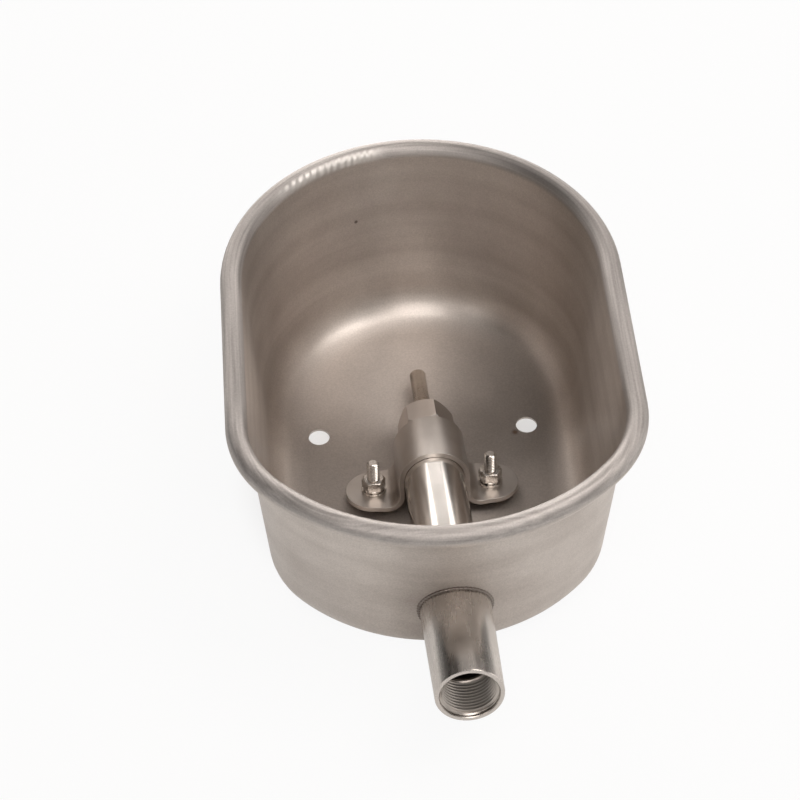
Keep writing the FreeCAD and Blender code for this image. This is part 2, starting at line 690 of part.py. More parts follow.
def clamp_stud(side, across):
    """Stud square to the strap's ears, trimmed to stand on the floor of the bowl."""
    name = "clamp_stud_" + side
    top = "(%s + Dims.plain_washer_thickness + Dims.lock_washer_thickness" % EAR_TOP
    top += " + Dims.nut_height + Dims.stud_reach)"
    root = "(3 * Dims.pipe_height)"
    shank = doc.addObject("Part::Cylinder", name + "_shank")
    bind(shank, "Radius", "Dims.stud_radius")
    bind(shank, "Height", "%s - Dims.stud_tip_bevel + %s" % (top, root))
    place_on_line(shank, across, up="-%s" % root)
    tip = doc.addObject("Part::Cone", name + "_tip")
    bind(tip, "Radius1", "Dims.stud_radius")
    bind(tip, "Radius2", "Dims.stud_radius - Dims.stud_tip_bevel")
    bind(tip, "Height", "Dims.stud_tip_bevel")
    place_on_line(tip, across, up="%s - Dims.stud_tip_bevel" % top)
    whole = doc.addObject("Part::Fuse", name + "_whole")
    whole.Base = shank
    whole.Tool = tip
    below = doc.addObject("Part::Box", name + "_below_floor")
    bind(below, "Length", "4 * Dims.stud_spacing")
    bind(below, "Width", "8 * Dims.pipe_height")
    bind(below, "Height", "4 * Dims.pipe_height")
    bind(below, "Placement.Base.x", "-2 * Dims.stud_spacing")
    bind(below, "Placement.Base.y", "Dims.clamp_y - 4 * Dims.pipe_height")
    bind(below, "Placement.Base.z", "Dims.sheet_thickness - 4 * Dims.pipe_height")
    stud = doc.addObject("Part::Cut", name)
    stud.Label = name
    stud.Base = whole
    stud.Tool = below
    sub_parts.append(stud)


def flat_ring(label, across, up, outer, inner, thickness):
    body = new_body(label)
    ring = new_sketch(body, label + "_plan", "XY_Plane")
    round_hole(ring, "outer", "0", "0", outer)
    round_hole(ring, "inner", "0", "0", inner)
    extrude(body, label + "_plate", "Pad", ring, thickness)
    place_on_line(body, across, up=up)


def clamp_nut(side, across, up):
    body = new_body("clamp_nut_" + side)
    plan = new_sketch(body, "nut_plan", "XY_Plane")
    hexagon(plan, "Dims.nut_flats", "0")
    round_hole(plan, "bore", "0", "0", "Dims.stud_radius + Dims.slip_gap")
    extrude(body, "nut_prism", "Pad", plan, "Dims.nut_height")
    doc.recompute()
    before = body.Shape.Volume
    corner = "Dims.nut_flats / 2 / cos(30)"
    bevel = new_sketch(body, "nut_bevel_section", "XZ_Plane")
    outline(bevel, "p", [
        ("%s - 2 * Dims.nut_bevel" % corner, "Dims.nut_height"),
        (corner, "Dims.nut_height - Dims.nut_bevel"),
        ("Dims.nut_flats", "Dims.nut_height - Dims.nut_bevel"),
        ("Dims.nut_flats", "Dims.nut_height"),
    ])
    cut = revolve(body, "bevel_nut", "Groove", bevel)
    cut_for_sure(body, cut, before)
    place_on_line(body, across, up=up)


def fasteners():
    on_washer = "(%s + Dims.plain_washer_thickness)" % EAR_TOP
    on_lock = "(%s + Dims.lock_washer_thickness)" % on_washer
    for side, across in (("left", "-Dims.stud_spacing / 2"), ("right", "Dims.stud_spacing / 2")):
        clamp_stud(side, across)
        flat_ring("plain_washer_" + side, across, EAR_TOP, "Dims.plain_washer_radius",
                  "Dims.stud_radius + Dims.stud_hole_gap", "Dims.plain_washer_thickness")
        flat_ring("lock_washer_" + side, across, on_washer, "Dims.lock_washer_radius",
                  "Dims.stud_radius + Dims.slip_gap", "Dims.lock_washer_thickness")
        clamp_nut(side, across, on_lock)


bowl_shell()
inlet_pipe()
inlet_socket()
socket_weld()
pipe_end_bush()
body_gasket()
valve_body()
seat_seal()
valve_pin()
spring_cup()
valve_spring()
spring_retainer()
strainer()
saddle_clamp()
fasteners()
doc.recompute()

for thing in doc.Objects:
    if "Invalid" in thing.State or "Error" in thing.State:
        raise RuntimeError("%s did not build: %s" % (thing.Name, thing.State))

os.makedirs("parts", exist_ok=True)
for piece in sub_parts:
    shape = piece.Shape
    if shape.isNull() or not shape.isValid() or len(shape.Solids) != 1:
        raise RuntimeError("%s is not one valid solid" % piece.Label)
    shape.exportStep("parts/%s.step" % piece.Label)
    print("%s: %.1f cubic millimetres" % (piece.Label, shape.Volume))
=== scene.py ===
import bmesh
import bpy
import math
from mathutils import Matrix, Vector
from mathutils.bvhtree import BVHTree


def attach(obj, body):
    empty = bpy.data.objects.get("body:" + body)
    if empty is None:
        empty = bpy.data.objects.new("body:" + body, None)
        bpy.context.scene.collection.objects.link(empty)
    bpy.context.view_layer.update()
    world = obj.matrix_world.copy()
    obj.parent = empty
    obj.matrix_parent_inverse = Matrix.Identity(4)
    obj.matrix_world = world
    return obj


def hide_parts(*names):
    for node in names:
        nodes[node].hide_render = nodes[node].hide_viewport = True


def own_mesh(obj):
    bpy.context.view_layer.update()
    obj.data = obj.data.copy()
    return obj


# Oval stainless drinking bowl for pigs, with a bite nipple on a clamped water pipe.
# Metres, +Z up, the bowl's flat bottom on z = 0 and its water inlet towards -Y.

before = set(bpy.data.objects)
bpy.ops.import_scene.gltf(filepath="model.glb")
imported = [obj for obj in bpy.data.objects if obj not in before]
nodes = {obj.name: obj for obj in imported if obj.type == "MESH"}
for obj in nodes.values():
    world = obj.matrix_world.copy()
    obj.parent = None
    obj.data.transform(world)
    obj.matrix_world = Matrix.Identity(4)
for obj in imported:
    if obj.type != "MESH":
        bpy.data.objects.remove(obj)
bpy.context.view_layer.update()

MM = 0.001
FULL_TURN = 2 * math.pi
ALONG = (0.0, 1.0, 0.0)
UP = (0.0, 0.0, 1.0)

# Where the saddle clamp's middle stands, and how the pipe is turned and tilted there, in degrees.
CLAMP_MIDDLE = Vector((1.2, -38.1, 20.6)) * MM
PIPE_TURN = 1.3
PIPE_TILT = -9.0

# The pipe's own frame, from the middle of the clamp: X across, Y along the pipe to the pin, Z up.
# Millimetres in, metres out.
ON_PIPE = (
    Matrix.Translation(CLAMP_MIDDLE)
    @ Matrix.Rotation(math.radians(PIPE_TURN), 4, "Z")
    @ Matrix.Rotation(math.radians(PIPE_TILT), 4, "X")
    @ Matrix.Scale(MM, 4)
)

# Edges sharper than this stay sharp and are deburred, in degrees.
CREASE = 30.0

# Points of a turned or wound shape that are closer than this are one, in its millimetres.
CLOSE = 0.001

# A wave texture at scale 1 runs through this many radians in a metre.
WAVE_RADIANS = 20.0


def linear(code):
    """Linear colour of an sRGB hex value."""
    channels = [int(code[place:place + 2], 16) / 255 for place in (1, 3, 5)]
    straight = [c / 12.92 if c <= 0.04045 else ((c + 0.055) / 1.055) ** 2.4 for c in channels]
    return (*straight, 1.0)


def add(tree, kind, inputs=None, **settings):
    """Adds a node. Inputs take a value or another node's output socket."""
    node = tree.nodes.new(kind)
    for name, value in settings.items():
        setattr(node, name, value)
    for name, value in (inputs or {}).items():
        if isinstance(value, bpy.types.NodeSocket):
            tree.links.new(value, node.inputs[name])
        else:
            node.inputs[name].default_value = value
    return node


def new_material(name):
    """An empty material, with its node tree and its Object coordinates."""
    material = bpy.data.materials.new(name)
    material.use_nodes = True
    tree = material.node_tree
    tree.nodes.clear()
    coords = add(tree, "ShaderNodeTexCoord")
    return material, tree, coords.outputs["Object"]


def steel(name, light, dark, rough, grain_mm, stretch, cloud_mm=25.0, bump_mm=0.01, spread=0.06):
    """Stainless steel: metallic, two close greys in soft clouds, and fine grain that is drawn
    out along the way it was rolled, turned or brushed. The grain moves roughness and bump."""
    material, tree, at = new_material(name)
    clouds = add(tree, "ShaderNodeTexNoise", {
        "Vector": at, "Scale": 1 / (cloud_mm * MM), "Detail": 4.0})
    share = add(tree, "ShaderNodeMapRange", {
        "Value": clouds.outputs["Fac"], "From Min": 0.35, "From Max": 0.65})
    colour = add(tree, "ShaderNodeMix", {
        0: share.outputs["Result"], 6: linear(dark), 7: linear(light)}, data_type="RGBA")
    drawn = add(tree, "ShaderNodeMapping", {"Vector": at, "Scale": stretch})
    grain = add(tree, "ShaderNodeTexNoise", {
        "Vector": drawn.outputs["Vector"], "Scale": 1 / (grain_mm * MM), "Detail": 3.0})
    both = add(tree, "ShaderNodeMath", {0: clouds.outputs["Fac"], 1: grain.outputs["Fac"]})
    satin = add(tree, "ShaderNodeMapRange", {
        "Value": both.outputs["Value"], "From Min": 0.7, "From Max": 1.3,
        "To Min": rough - spread, "To Max": rough + spread})
    relief = add(tree, "ShaderNodeBump", {
        "Height": grain.outputs["Fac"], "Strength": 1.0, "Distance": bump_mm * MM})
    shader = add(tree, "ShaderNodeBsdfPrincipled", {
        "Base Color": colour.outputs[2], "Metallic": 1.0,
        "Roughness": satin.outputs["Result"], "Normal": relief.outputs["Normal"]})
    add(tree, "ShaderNodeOutputMaterial", {"Surface": shader.outputs["BSDF"]})
    return material


def oval_levels(tree, at, x, y, z):
    """Coordinates that run round the oval with the drawing lines, and the distance out from the
    oval's middle line, which is equal all round each level of the wall."""
    # Plan of the oval: middle of the far half circle, start of the front corners, how far the
    # corners stand in from the sides, and the flatter front arc's slope and start.
    far_middle, corner_start, corner_inset = 0.0094, -0.0400, 0.035
    front_slope, front_start = 0.8, 0.065
    # How slowly a drawing line changes on its way round, against its change across.
    drift = 0.025

    blunt = add(tree, "ShaderNodeMapRange", {
        "Value": y, "From Min": corner_start, "From Max": far_middle,
        "To Min": corner_inset, "To Max": 0.0})
    wide = add(tree, "ShaderNodeMath", {0: x}, operation="ABSOLUTE")
    beside = add(tree, "ShaderNodeMath", {
        0: wide.outputs["Value"], 1: blunt.outputs["Result"]}, operation="SUBTRACT")
    side = add(tree, "ShaderNodeMath", {0: beside.outputs["Value"], 1: 0.0}, operation="MAXIMUM")
    behind = add(tree, "ShaderNodeMath", {0: y, 1: far_middle}, operation="SUBTRACT")
    back = add(tree, "ShaderNodeMath", {0: behind.outputs["Value"], 1: 0.0}, operation="MAXIMUM")
    before = add(tree, "ShaderNodeMath", {
        0: y, 1: front_slope, 2: front_start}, operation="MULTIPLY_ADD")
    front = add(tree, "ShaderNodeMath", {0: before.outputs["Value"], 1: 0.0}, operation="MINIMUM")
    end = add(tree, "ShaderNodeMath", {0: back.outputs["Value"], 1: front.outputs["Value"]})
    offset = add(tree, "ShaderNodeCombineXYZ", {
        "X": side.outputs["Value"], "Y": end.outputs["Value"]})
    out = add(tree, "ShaderNodeVectorMath", {0: offset.outputs["Vector"]}, operation="LENGTH")
    level = add(tree, "ShaderNodeMath", {0: out.outputs["Value"], 1: blunt.outputs["Result"]})
    slow = add(tree, "ShaderNodeVectorMath", {
        0: at, 1: (drift, drift, 0.0)}, operation="DOT_PRODUCT")
    round_oval = add(tree, "ShaderNodeCombineXYZ", {
        "X": level.outputs["Value"], "Y": z, "Z": slow.outputs["Value"]})
    return round_oval.outputs["Vector"], level.outputs["Value"]


def spot(tree, at, middle, full, gone, most):
    """Strength of a soft round spot: its most out to one distance, and none past another."""
    away = add(tree, "ShaderNodeVectorMath", {0: at, 1: middle}, operation="DISTANCE")
    strength = add(tree, "ShaderNodeMapRange", {
        "Value": away.outputs["Value"], "From Min": full, "From Max": gone,
        "To Min": most, "To Max": 0.0}, interpolation_type="SMOOTHSTEP")
    return strength.outputs["Result"]


def pressed_bowl():
    """Deep-drawn stainless sheet, satin inside and out. Fine drawing lines and slow bands run
    round the oval, the rolled rim is cooler and more matt, the bottom is duller, and the rim's
    far left inner edge has press wrinkles, lightened in colour as a painted highlight. The weld's
    heat has tinted the wall round the socket and left it matt, and the darker spot there is
    partly painted shade. There is a pit in the far wall and a brown stain by the right hole."""
    material, tree, at = new_material("satin_pressed_stainless")
    part = add(tree, "ShaderNodeSeparateXYZ", {0: at})
    x, y, z = part.outputs["X"], part.outputs["Y"], part.outputs["Z"]
    round_oval, level = oval_levels(tree, at, x, y, z)

    # Heights over which the wall turns over into the rim, and the bottom rises into the wall.
    wall_top, rim_start = 0.0985, 0.1015
    bottom_top, wall_start = 0.0020, 0.0050
    rim = add(tree, "ShaderNodeMapRange", {
        "Value": z, "From Min": wall_top, "From Max": rim_start},
        interpolation_type="SMOOTHSTEP")
    walls = add(tree, "ShaderNodeMapRange", {
        "Value": z, "From Min": bottom_top, "From Max": wall_start},
        interpolation_type="SMOOTHSTEP")

    # Spacing of the drawing lines, the rim's streaks, the walls' slow bands, the clouds and the
    # sheet's skin. Lines and skin are drawn coarser than they are, so that they show.
    line_mm, streak_mm, swell_mm, cloud_mm, skin_mm = 0.9, 1.1, 12.0, 30.0, 0.8
    lines = add(tree, "ShaderNodeTexNoise", {
        "Vector": round_oval, "Scale": 1 / (line_mm * MM), "Detail": 3.0})
    streaks = add(tree, "ShaderNodeTexNoise", {
        "Vector": round_oval, "Scale": 1 / (streak_mm * MM), "Detail": 4.0})
    swells = add(tree, "ShaderNodeTexNoise", {
        "Vector": round_oval, "Scale": 1 / (swell_mm * MM), "Detail": 3.0})
    clouds = add(tree, "ShaderNodeTexNoise", {
        "Vector": at, "Scale": 1 / (cloud_mm * MM), "Detail": 4.0})
    skin = add(tree, "ShaderNodeTexNoise", {
        "Vector": at, "Scale": 1 / (skin_mm * MM), "Detail": 2.0})

    uneven = add(tree, "ShaderNodeMath", {0: clouds.outputs["Fac"], 1: swells.outputs["Fac"]})
    wall_share = add(tree, "ShaderNodeMapRange", {
        "Value": uneven.outputs["Value"], "From Min": 0.75, "From Max": 1.25})
    wall_colour = add(tree, "ShaderNodeMix", {
        0: wall_share.outputs["Result"], 6: linear("#BFB7B1"), 7: linear("#D2CBC5")},
        data_type="RGBA")
    streak_share = add(tree, "ShaderNodeMapRange", {
        "Value": streaks.outputs["Fac"], "From Min": 0.35, "From Max": 0.65})
    rim_colour = add(tree, "ShaderNodeMix", {
        0: streak_share.outputs["Result"], 6: linear("#A8A3A0"), 7: linear("#C2BDBA")},
        data_type="RGBA")
    turned_over = add(tree, "ShaderNodeMix", {
        0: rim.outputs["Result"], 6: wall_colour.outputs[2], 7: rim_colour.outputs[2]},
        data_type="RGBA")
    bottom_share = add(tree, "ShaderNodeMapRange", {
        "Value": clouds.outputs["Fac"], "From Min": 0.3, "From Max": 0.7})
    bottom_colour = add(tree, "ShaderNodeMix", {
        0: bottom_share.outputs["Result"], 6: linear("#BAB2AC"), 7: linear("#C6BEB8")},
        data_type="RGBA")
    clean = add(tree, "ShaderNodeMix", {
        0: walls.outputs["Result"], 6: bottom_colour.outputs[2], 7: turned_over.outputs[2]},
        data_type="RGBA")

    # The weld's heat reaches further up and down than across, so the spots there are narrowed. The
    # darker spot is partly the weld's heat tint and partly painted shade on the front wall round
    # and below the socket.
    weld_place, narrowing = (-0.005, -0.128, 0.032), (1.7, 1.0, 1.0)
    narrowed = add(tree, "ShaderNodeVectorMath", {0: at, 1: narrowing}, operation="MULTIPLY")
    heat_tint_and_shade = spot(tree, narrowed.outputs["Vector"], weld_place, 0.012, 0.050, 0.4)
    matt = spot(tree, narrowed.outputs["Vector"], weld_place, 0.030, 0.100, 0.7)
    # Painted shade and heat tint: the front wall round the socket is darkened towards a brown
    # grey.
    tinted_and_shaded = add(tree, "ShaderNodeMix", {
        0: heat_tint_and_shade, 6: clean.outputs[2], 7: linear("#83776F")}, data_type="RGBA")
    pit_place, stain_place = (-0.0268, 0.0867, 0.0649), (0.0457, -0.0045, 0.0012)
    pit = spot(tree, at, pit_place, 0.0005, 0.0013, 0.75)
    pitted = add(tree, "ShaderNodeMix", {
        0: pit, 6: tinted_and_shaded.outputs[2], 7: linear("#4A3F38")}, data_type="RGBA")
    stain = spot(tree, at, stain_place, 0.0004, 0.0024, 0.7)
    stained = add(tree, "ShaderNodeMix", {
        0: stain, 6: pitted.outputs[2], 7: linear("#7A5A42")}, data_type="RGBA")
    speck = add(tree, "ShaderNodeMapRange", {
        "Value": skin.outputs["Fac"], "From Min": 0.3, "From Max": 0.7,
        "To Min": 0.92, "To Max": 1.08})
    speckled = add(tree, "ShaderNodeVectorMath", {
        0: stained.outputs[2], "Scale": speck.outputs["Result"]}, operation="SCALE")

    # Roughness: the walls' and the rim's change with their lines, the others are one value.
    bottom_rough, heated_rough, rubbed_rough = 0.52, 0.85, 0.46
    wall_rough = add(tree, "ShaderNodeMapRange", {
        "Value": lines.outputs["Fac"], "From Min": 0.3, "From Max": 0.7,
        "To Min": 0.39, "To Max": 0.45})
    rim_rough = add(tree, "ShaderNodeMapRange", {
        "Value": streaks.outputs["Fac"], "From Min": 0.3, "From Max": 0.7,
        "To Min": 0.50, "To Max": 0.62})
    drawn_rough = add(tree, "ShaderNodeMix", {
        0: rim.outputs["Result"], 2: wall_rough.outputs["Result"],
        3: rim_rough.outputs["Result"]})
    clean_rough = add(tree, "ShaderNodeMix", {
        0: walls.outputs["Result"], 2: bottom_rough, 3: drawn_rough.outputs[0]})
    rough = add(tree, "ShaderNodeMix", {0: matt, 2: clean_rough.outputs[0], 3: heated_rough})

    # Press wrinkles: short ripples across the rim's inner edge, far and left, smoother there and
    # lightened in colour as a painted highlight for their glints.
    # They fade in over these levels, this far back and this far to the left.
    ripple_mm = 3.4
    no_edge, full_edge = 0.0890, 0.0875
    not_far, full_far = 0.060, 0.080
    not_left, full_left = -0.008, -0.020
    ripple = add(tree, "ShaderNodeTexWave", {
        "Vector": at, "Scale": FULL_TURN / (WAVE_RADIANS * ripple_mm * MM),
        "Distortion": 3.5, "Detail": 1.5})
    inner_edge = add(tree, "ShaderNodeMapRange", {
        "Value": level, "From Min": no_edge, "From Max": full_edge},
        interpolation_type="SMOOTHSTEP")
    far = add(tree, "ShaderNodeMapRange", {
        "Value": y, "From Min": not_far, "From Max": full_far}, interpolation_type="SMOOTHSTEP")
    left = add(tree, "ShaderNodeMapRange", {
        "Value": x, "From Min": not_left, "From Max": full_left}, interpolation_type="SMOOTHSTEP")
    corner = add(tree, "ShaderNodeMath", {
        0: far.outputs["Result"], 1: left.outputs["Result"]}, operation="MULTIPLY")
    edge = add(tree, "ShaderNodeMath", {
        0: inner_edge.outputs["Result"], 1: rim.outputs["Result"]}, operation="MULTIPLY")
    creased = add(tree, "ShaderNodeMath", {
        0: corner.outputs["Value"], 1: edge.outputs["Value"]}, operation="MULTIPLY")
    # Painted highlight: the wrinkles' colour is lightened towards near white to stand in for
    # glints.
    painted_glint = add(tree, "ShaderNodeMix", {
        0: creased.outputs["Value"], 6: speckled.outputs["Vector"], 7: linear("#D6D2CE")},
        data_type="RGBA")
    smoother = add(tree, "ShaderNodeMix", {
        0: creased.outputs["Value"], 2: rough.outputs[0], 3: rubbed_rough})
    wrinkles = add(tree, "ShaderNodeMath", {
        0: creased.outputs["Value"], 1: ripple.outputs["Fac"]}, operation="MULTIPLY")

    # Relief of wrinkles, rim streaks, drawing lines and skin.
    wrinkle_deep, streak_deep, line_deep, skin_deep = 0.2, 0.05, 0.014, 0.009
    wrinkled = add(tree, "ShaderNodeBump", {
        "Height": wrinkles.outputs["Value"], "Strength": 1.0, "Distance": wrinkle_deep * MM})
    rolled = add(tree, "ShaderNodeBump", {
        "Height": streaks.outputs["Fac"], "Strength": rim.outputs["Result"],
        "Distance": streak_deep * MM, "Normal": wrinkled.outputs["Normal"]})
    lined = add(tree, "ShaderNodeBump", {
        "Height": lines.outputs["Fac"], "Strength": walls.outputs["Result"],
        "Distance": line_deep * MM, "Normal": rolled.outputs["Normal"]})
    grained = add(tree, "ShaderNodeBump", {
        "Height": skin.outputs["Fac"], "Strength": 1.0, "Distance": skin_deep * MM,
        "Normal": lined.outputs["Normal"]})

    # Drawn round the oval, so reflections stretch up and down the walls, but not at the front.
    front_end, sides_start, most_stretched = -0.085, -0.065, 0.65
    stretched = add(tree, "ShaderNodeMapRange", {
        "Value": y, "From Min": front_end, "From Max": sides_start,
        "To Min": 0.0, "To Max": most_stretched})
    drawn_round = add(tree, "ShaderNodeTangent", direction_type="RADIAL", axis="Z")
    shader = add(tree, "ShaderNodeBsdfPrincipled", {
        "Base Color": painted_glint.outputs[2], "Metallic": 1.0,
        "Anisotropic": stretched.outputs["Result"], "Anisotropic Rotation": 0.25,
        "Tangent": drawn_round.outputs["Tangent"],
        "Roughness": smoother.outputs[0], "Normal": grained.outputs["Normal"]})
    add(tree, "ShaderNodeOutputMaterial", {"Surface": shader.outputs["BSDF"]})
    return material


def moulded(name, light, dark, rough, grain_mm, bump_mm):
    """Rubber or plastic: a matt moulded skin with a fine even grain."""
    material, tree, at = new_material(name)
    grain = add(tree, "ShaderNodeTexNoise", {
        "Vector": at, "Scale": 1 / (grain_mm * MM), "Detail": 3.0})
    colour = add(tree, "ShaderNodeMix", {
        0: grain.outputs["Fac"], 6: linear(dark), 7: linear(light)}, data_type="RGBA")
    relief = add(tree, "ShaderNodeBump", {
        "Height": grain.outputs["Fac"], "Strength": 1.0, "Distance": bump_mm * MM})
    shader = add(tree, "ShaderNodeBsdfPrincipled", {
        "Base Color": colour.outputs[2], "Roughness": rough,
        "Normal": relief.outputs["Normal"]})
    add(tree, "ShaderNodeOutputMaterial", {"Surface": shader.outputs["BSDF"]})
    return material


# How the grain is drawn out, as scales of X, Y and Z: a small one makes it long that way. It
# runs round the pipe from turning, along it from brushing, or is even.
POLISHED_ROUND = (0.2, 2.0, 0.2)
TURNED_ROUND = (0.3, 2.0, 0.3)
TURNED_TIGHT = (0.2, 3.0, 0.2)
BRUSHED_ALONG = (1.0, 0.1, 1.0)
DRAWN_ALONG = (1.0, 0.05, 1.0)
EVEN = (1.0, 1.0, 1.0)

satin_bowl = pressed_bowl()

# Polished tube: close to a mirror, with sharp long highlights.
polished_tube = steel(
    "polished_stainless_tube", "#DCD8D4", "#D2CDC8", 0.17, 1.0, POLISHED_ROUND, spread=0.03)

# Socket: bright, with faint lines along it.
turned_socket = steel(
    "turned_stainless_socket", "#D8D2CD", "#CAC4BE", 0.27, 2.0, DRAWN_ALONG,
    bump_mm=0.002, spread=0.02)

# Milled valve body: softer than the tube, so its flats read as clean tones.
milled_valve = steel(
    "milled_stainless_valve", "#CDC5C0", "#C1B9B3", 0.32, 0.6, TURNED_ROUND,
    bump_mm=0.004, spread=0.03)

# Bitten pin: darker and browner than the rest, with fine turning rings.
turned_pin = steel(
    "turned_stainless_pin", "#B0A59A", "#92877C", 0.28, 0.4, TURNED_TIGHT, bump_mm=0.003)

# Clamp strip: a satin sheen, brushed along the pipe.
bent_strap = steel("brushed_stainless_strip", "#CDC7C2", "#BDB6B0", 0.38, 0.5, BRUSHED_ALONG)

# Rolled studs: the brightest small glints.
rolled_stud = steel(
    "rolled_stainless_stud", "#D2CCC6", "#BDB6AF", 0.22, 0.4, EVEN, bump_mm=0.004)

# Nuts and washers: bright, a little uneven.
plain_fastener = steel(
    "plain_stainless_fastener", "#CEC8C2", "#B8B1AA", 0.26, 0.5, EVEN, bump_mm=0.004)

# Thread inside the socket: duller, so its ridges read apart.
cut_thread = steel("cut_stainless_thread", "#CBC5BF", "#BBB4AD", 0.34, 0.5, EVEN)

# Weld: dark and matt from the heat.
weld_bead = steel("stainless_weld_bead", "#8F8781", "#6E655F", 0.42, 0.9, EVEN)

# Spring and retainer: smooth drawn wire.
drawn_wire = steel("drawn_stainless_wire", "#C6C2BE", "#A8A4A0", 0.25, 0.4, EVEN)

# Seals are dull black, the cup is a waxy white, the strainer a plain blue.
black_rubber = moulded("black_moulded_rubber", "#1D1C1B", "#111111", 0.7, 0.6, 0.02)
white_plastic = moulded("white_moulded_acetal", "#E2DFD6", "#CFCBC0", 0.45, 0.8, 0.01)
blue_plastic = moulded("blue_moulded_nylon", "#4A6A8C", "#355374", 0.5, 0.8, 0.01)

FINISHES = {
    "bowl_shell": satin_bowl,
    "inlet_pipe": polished_tube,
    "inlet_socket": turned_socket,
    "socket_weld": weld_bead,
    "pipe_end_bush": polished_tube,
    "body_gasket": black_rubber,
    "valve_body": milled_valve,
    "seat_seal": black_rubber,
    "valve_pin": turned_pin,
    "spring_cup": white_plastic,
    "valve_spring": drawn_wire,
    "spring_retainer": drawn_wire,
    "strainer": blue_plastic,
    "saddle_clamp": bent_strap,
    "clamp_stud_left": rolled_stud,
    "clamp_stud_right": rolled_stud,
    "plain_washer_left": plain_fastener,
    "plain_washer_right": plain_fastener,
    "lock_washer_left": plain_fastener,
    "lock_washer_right": plain_fastener,
    "clamp_nut_left": plain_fastener,
    "clamp_nut_right": plain_fastener,
}
for name, finish in FINISHES.items():
    nodes[name].data.materials.clear()
    nodes[name].data.materials.append(finish)


def piece_from(shape, name, body, finish, replaced=None, crease=CREASE):
    """Makes an object of the shape, smooth up to the crease angle, that rides on a body and may
    stand for a CAD node."""
    mesh = bpy.data.meshes.new(name)
    shape.to_mesh(mesh)
    shape.free()
    mesh.materials.append(finish)
    mesh.shade_smooth()
    mesh.set_sharp_from_angle(angle=math.radians(crease))
    piece = bpy.data.objects.new(name, mesh)
    bpy.context.scene.collection.objects.link(piece)
    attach(piece, body)
    if replaced:
        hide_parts(replaced)
    return piece


def turn_outline(shape, outline, axis, steps):
    """Turns a closed outline of (radius, along) points right round an axis."""
    along = Vector(axis)
    points = [
        shape.verts.new(Vector((radius, 0.0, 0.0)) + along * place) for radius, place in outline]
    edges = [shape.edges.new(ends) for ends in zip(points, points[1:] + points[:1])]
    bmesh.ops.spin(
        shape, geom=points + edges, axis=axis, angle=FULL_TURN, steps=steps, use_merge=True)
    bmesh.ops.remove_doubles(shape, verts=shape.verts, dist=CLOSE)


def wind(shape, section, pitch, turns, axis, steps=40):
    """Winds a closed section of (radius, along) points into a helix, as a screw thread or a coil.
    The steps are for each turn."""
    along = Vector(axis)
    face = shape.faces.new([
        shape.verts.new(Vector((radius, 0.0, 0.0)) + along * place) for radius, place in section])
    bmesh.ops.spin(
        shape, geom=[face], axis=axis, dvec=along * (pitch / steps), angle=FULL_TURN * turns,
        steps=int(steps * turns), use_duplicate=False)


def ridge(root, crest, start, pitch):
    """Section of a screw thread's ridge, from its root on one side to its root on the other."""
    return [
        (radius, start + share * pitch)
        for radius, share in ((root, 0.03), (crest, 0.42), (crest, 0.58), (root, 0.97))
    ]


def run_out(shape, root, crest, start, pitch, turns, axis):
    """Lets a thread's crest rise from its root over the first half turn and sink over the last."""
    along = Vector(axis)
    for point in shape.verts:
        place = point.co.dot(along)
        out = point.co - along * place
        if abs(out.length - crest) < CLOSE:
            turn = (place - start) / pitch - 0.5
            share = max(0.0, min(1.0, 2 * turn, 2 * (turns - turn)))
            point.co = along * place + out.normalized() * (root + (crest - root) * share)


def close_up(shape, place):
    """Turns the faces outwards and moves the shape from its own millimetres to the part."""
    bmesh.ops.recalc_face_normals(shape, faces=shape.faces)
    bmesh.ops.transform(shape, matrix=place, verts=shape.verts)


def softened(node, width, body="bowl"):
    """A copy of a CAD node whose sharp edges are broken by a small bevel, as deburring does."""
    shape = bmesh.new()
    shape.from_mesh(nodes[node].data)
    bmesh.ops.remove_doubles(shape, verts=shape.verts, dist=0.01 * MM)
    bmesh.ops.dissolve_limit(
        shape, angle_limit=math.radians(0.5), verts=shape.verts, edges=shape.edges)
    piece = piece_from(shape, node + "_deburred", body, FINISHES[node], node)
    bevel = piece.modifiers.new("deburred_edges", "BEVEL")
    bevel.width = width * MM
    bevel.segments = 2
    bevel.limit_method = "ANGLE"
    bevel.angle_limit = math.radians(CREASE)
    bevel.harden_normals = True


def threaded_socket():
    """Inlet socket with a real screw thread, G 3/4, in its mouth."""
    root, crest, start, pitch, turns = 13.3, 12.06, -159.4, 1.814, 11.0
    bore = 13.4
    shape = bmesh.new()
    turn_outline(shape, (
        (14.55, -98.0), (16.1, -98.0), (16.4, -98.3), (15.4, -159.4), (15.2, -159.85),
        (14.8, -160.0), (13.55, -160.0), (13.22, -159.6), (13.22, -138.6), (12.6, -138.0),
        (11.5, -138.0), (11.5, -112.05), (14.55, -112.05),
    ), ALONG, steps=128)
    wind(shape, ridge(root, crest, start, pitch), pitch, turns, ALONG, steps=64)
    run_out(shape, root, crest, start, pitch, turns, ALONG)
    for face in shape.faces:
        middle = face.calc_center_median()
        face.material_index = int(math.hypot(middle.x, middle.z) < bore)
    close_up(shape, ON_PIPE)
    socket = piece_from(
        shape, "threaded_socket", "bowl", turned_socket, "inlet_socket")
    socket.data.materials.append(cut_thread)


def threaded_stud(side, across):
    """M6 stud with its thread from the bowl's bottom up to a bevelled end."""
    shape = bmesh.new()
    turn_outline(shape, (
        (0.0, -19.3), (2.5, -19.3), (2.5, 2.0), (1.95, 2.5), (0.0, 2.5)), UP, steps=32)
    root, crest, start, pitch, turns = 2.42, 3.0, -18.4, 1.0, 20.0
    wind(shape, ridge(root, crest, start, pitch), pitch, turns, UP, steps=32)
    close_up(shape, ON_PIPE @ Matrix.Translation((across, 0.0, 0.0)))
    piece_from(
        shape, "threaded_stud_" + side, "bowl", rolled_stud, "clamp_stud_" + side)


